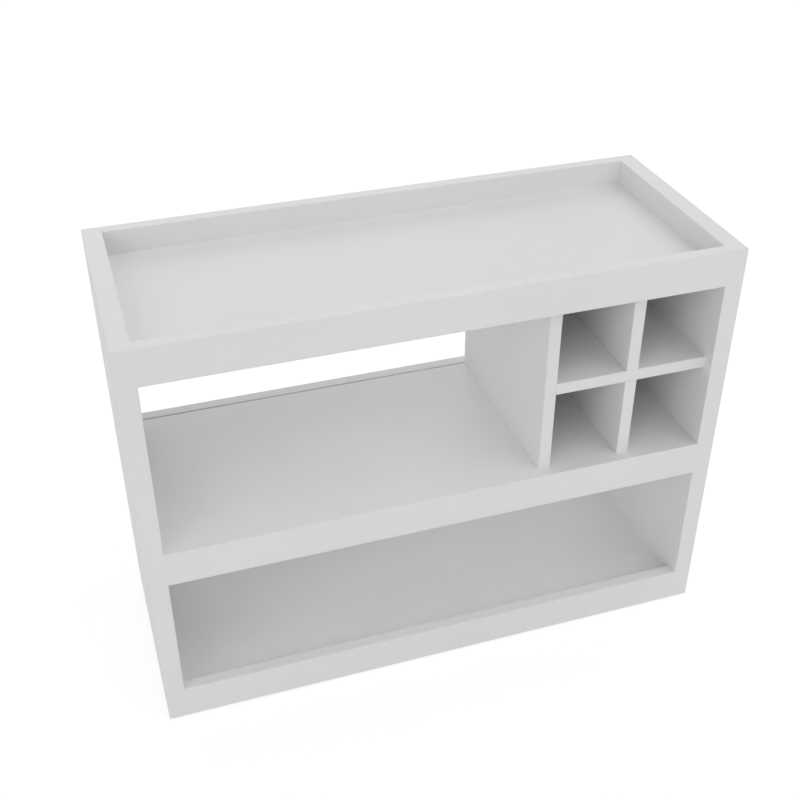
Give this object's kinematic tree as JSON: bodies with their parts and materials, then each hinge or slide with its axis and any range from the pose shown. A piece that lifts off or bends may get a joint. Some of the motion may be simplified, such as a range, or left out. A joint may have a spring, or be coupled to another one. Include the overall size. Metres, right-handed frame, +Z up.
{
  "type": "bar sideboard",
  "caption": "Open white bar sideboard with a tray top, a middle shelf with bottle cells at one end and hanging stemware channels below, and a low base shelf.",
  "frame": {"origin": "on the floor under the middle of the carcass", "axes": "+X to the right as seen from the front, +Y to the back, +Z up"},
  "size_m": [0.94, 0.378, 0.703],
  "materials": {
    "white_lacquer": "satin white lacquer on board",
    "beech": "plain fluted beech",
    "zinc": "zinc-plated",
    "steel": "zinc-plated",
    "white_plastic": "matte white",
    "grey_plastic": "matte grey"
  },
  "bodies": {
    "root": {"left_side": "white_lacquer", "right_side": "white_lacquer", "top_front_rail": "white_lacquer", "top_rear_rail": "white_lacquer", "tray_floor": "white_lacquer", "shelf_front_rail": "white_lacquer", "shelf_rear_rail": "white_lacquer", "middle_shelf": "white_lacquer", "base_front_rail": "white_lacquer", "base_rear_rail": "white_lacquer", "base_panel": "white_lacquer", "rack_left_divider": "white_lacquer", "rack_centre_divider": "white_lacquer", "rack_cross_shelf": "white_lacquer", "rack_back": "white_lacquer", "stemware_spacer_1": "white_lacquer", "stemware_strip_1": "white_lacquer", "stemware_spacer_2": "white_lacquer", "stemware_strip_2": "white_lacquer", "stemware_spacer_3": "white_lacquer", "stemware_strip_3": "white_lacquer", "stemware_spacer_4": "white_lacquer", "stemware_strip_4": "white_lacquer", "stemware_spacer_5": "white_lacquer", "stemware_strip_5": "white_lacquer", "rail_dowels": "beech", "panel_dowels": "beech", "edge_dowels": "beech", "rack_dowels": "beech", "cam_housings": "zinc", "cam_bolts": "zinc", "cam_caps": "white_plastic", "stemware_screws": "steel", "rack_back_screws": "steel", "floor_glides": "grey_plastic", "glide_nails": "steel"}
  },
  "joints": []
}
